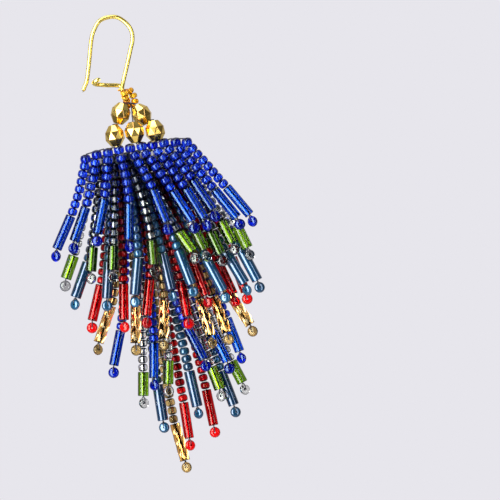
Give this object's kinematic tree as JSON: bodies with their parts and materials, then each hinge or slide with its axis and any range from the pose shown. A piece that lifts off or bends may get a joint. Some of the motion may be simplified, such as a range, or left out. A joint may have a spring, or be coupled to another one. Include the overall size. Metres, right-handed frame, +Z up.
{
  "type": "drop earring",
  "caption": "Drop earring on a kidney ear wire: faceted gold beads over a layered fringe of seed-bead strands, each ending in a bugle bead and a seed bead",
  "frame": {"origin": "Under the middle of the ear wire's arch, where the wire rests in the ear and the earring hangs", "axes": "+X is to the right as seen from the front, +Y points away from the viewer, +Z points up"},
  "size_m": [0.0395, 0.0191, 0.0889],
  "materials": {
    "gold_wire": "polished",
    "gold_coat": "polished facets, metal-coated glass",
    "loop_glass": "silver-lined",
    "thread": "waxed",
    "seeds_blue": "silver-lined",
    "seeds_clear": "silver-lined",
    "seeds_steel": "metallic lustre",
    "seeds_red": "silver-lined",
    "seeds_amber": "silver-lined",
    "bugles_blue": "silver-lined",
    "bugles_green": "silver-lined",
    "bugles_steel": "metallic lustre",
    "bugles_red": "silver-lined",
    "bugles_amber": "silver-lined, twisted"
  },
  "bodies": {
    "ear_wire": {"ear_wire": "gold_wire"},
    "drop": {"hanging_loop": "loop_glass", "thread": "thread", "gold_bead_1": "gold_coat", "gold_bead_2": "gold_coat", "gold_bead_3": "gold_coat", "gold_bead_4": "gold_coat", "gold_bead_5": "gold_coat", "fringe_row_01": "seeds_blue", "fringe_row_02": "seeds_clear", "fringe_row_03": "seeds_steel", "fringe_row_04": "seeds_red", "fringe_row_05": "seeds_amber", "fringe_row_06": "seeds_blue", "fringe_row_07": "seeds_clear", "fringe_row_08": "seeds_steel", "fringe_row_09": "seeds_red", "fringe_row_10": "seeds_amber", "bugles_row_01": "bugles_blue", "bugles_row_02": "bugles_green", "bugles_row_03": "bugles_steel", "bugles_row_04": "bugles_red", "bugles_row_05": "bugles_amber", "bugles_row_06": "bugles_blue", "bugles_row_07": "bugles_green", "bugles_row_08": "bugles_steel", "bugles_row_09": "bugles_red", "bugles_row_10": "bugles_amber", "end_beads_row_01": "seeds_blue", "end_beads_row_02": "seeds_clear", "end_beads_row_03": "seeds_steel", "end_beads_row_04": "seeds_red", "end_beads_row_05": "seeds_amber", "end_beads_row_06": "seeds_blue", "end_beads_row_07": "seeds_clear", "end_beads_row_08": "seeds_steel", "end_beads_row_09": "seeds_red", "end_beads_row_10": "seeds_amber"}
  },
  "joints": [
    {"name": "drop_swing", "type": "hinge", "parent": "ear_wire", "child": "drop", "pos_m": [0.0012, 0, -0.0136], "axis": [1, 0, 0], "range_deg": [-45, 45]}
  ]
}
